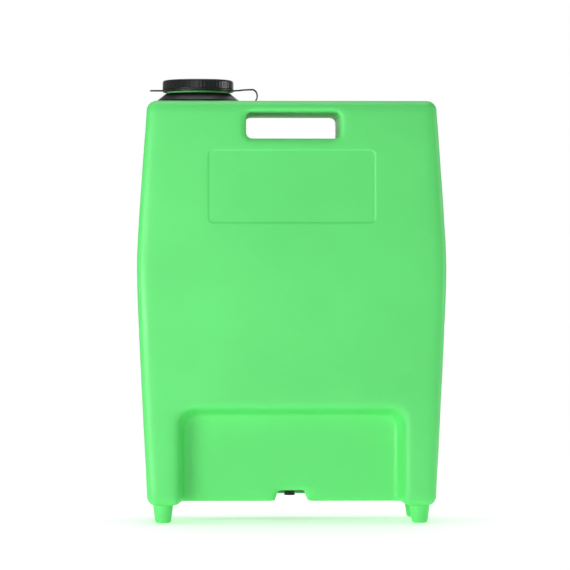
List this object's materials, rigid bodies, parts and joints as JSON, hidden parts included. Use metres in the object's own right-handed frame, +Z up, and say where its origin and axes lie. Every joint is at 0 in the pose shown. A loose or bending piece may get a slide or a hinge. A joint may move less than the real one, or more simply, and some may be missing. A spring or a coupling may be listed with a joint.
{
  "type": "portable eyewash station",
  "caption": "Portable gravity-fed eyewash tank with carry slot, tethered screw cap and fold-down tray with valve-fed nozzles.",
  "frame": {"origin": "on the floor under the middle of the tank, between the four feet", "axes": "+X to the right of the plain side, -Y out of the plain side, +Z up; the tray is on +Y"},
  "size_m": [0.399, 0.175, 0.5762],
  "materials": {
    "tank_green": "satin rotomoulded polyethylene",
    "screen_green": "satin",
    "cap_black": "gloss",
    "tether_black": "satin",
    "valve_black": "satin",
    "seal_rubber": "matte",
    "fitting_white": "semi-gloss",
    "signal_yellow": "semi-gloss",
    "steel": "brushed"
  },
  "bodies": {
    "tank_body": {"tank": "tank_green", "tether_collar": "tether_black", "tether_strap": "tether_black", "outlet_fitting": "valve_black", "outlet_gasket": "seal_rubber", "outlet_locknut": "valve_black", "outlet_strainer": "fitting_white", "valve_body": "valve_black", "hinge_pin_left": "steel", "hinge_pin_right": "steel"},
    "tray_body": {"tray": "tank_green", "pull_tab": "signal_yellow", "valve_plug": "fitting_white", "tray_bush_left": "fitting_white", "plug_seal_left": "seal_rubber", "supply_elbow_left": "valve_black", "supply_pipe_left": "fitting_white", "nozzle_left": "fitting_white", "nozzle_screen_left": "screen_green", "cover_pin_left": "steel", "elbow_screw_left": "steel", "nozzle_screw_left": "steel", "pull_rivet_left": "steel", "tray_bush_right": "fitting_white", "plug_seal_right": "seal_rubber", "supply_elbow_right": "valve_black", "supply_pipe_right": "fitting_white", "nozzle_right": "fitting_white", "nozzle_screen_right": "screen_green", "cover_pin_right": "steel", "elbow_screw_right": "steel", "nozzle_screw_right": "steel", "pull_rivet_right": "steel"},
    "cover_left_body": {"nozzle_cover_left": "signal_yellow"},
    "cover_right_body": {"nozzle_cover_right": "signal_yellow"},
    "ring_body": {"tether_ring": "tether_black"},
    "cap_body": {"cap": "cap_black", "cap_gasket": "seal_rubber", "cap_vent": "seal_rubber"}
  },
  "joints": [
    {"name": "tray_fold", "type": "hinge", "parent": "tank_body", "child": "tray_body", "pos_m": [0, 0.048, 0.048], "axis": [-1, 0, 0], "range_deg": [0, 90]},
    {"name": "cover_left_hinge", "type": "hinge", "parent": "tray_body", "child": "cover_left_body", "pos_m": [-0.038, 0.0565, 0.181], "axis": [-1, 0, 0], "range_deg": [0, 110]},
    {"name": "cover_right_hinge", "type": "hinge", "parent": "tray_body", "child": "cover_right_body", "pos_m": [0.038, 0.0565, 0.181], "axis": [-1, 0, 0], "range_deg": [0, 110]},
    {"name": "cap_lift", "type": "slide", "parent": "tank_body", "child": "ring_body", "axis": [0, 0, 1], "range_m": [0, 0.0121], "deforming": ["tether_strap"]},
    {"name": "cap_turn", "type": "hinge", "parent": "ring_body", "child": "cap_body", "pos_m": [-0.121, 0, 0.56], "axis": [0, 0, 1], "range_deg": [0, 720]}
  ],
  "couplings": [
    {"joint": "cap_lift", "follows": "cap_turn", "m_per_rad": 0.00095493}
  ]
}
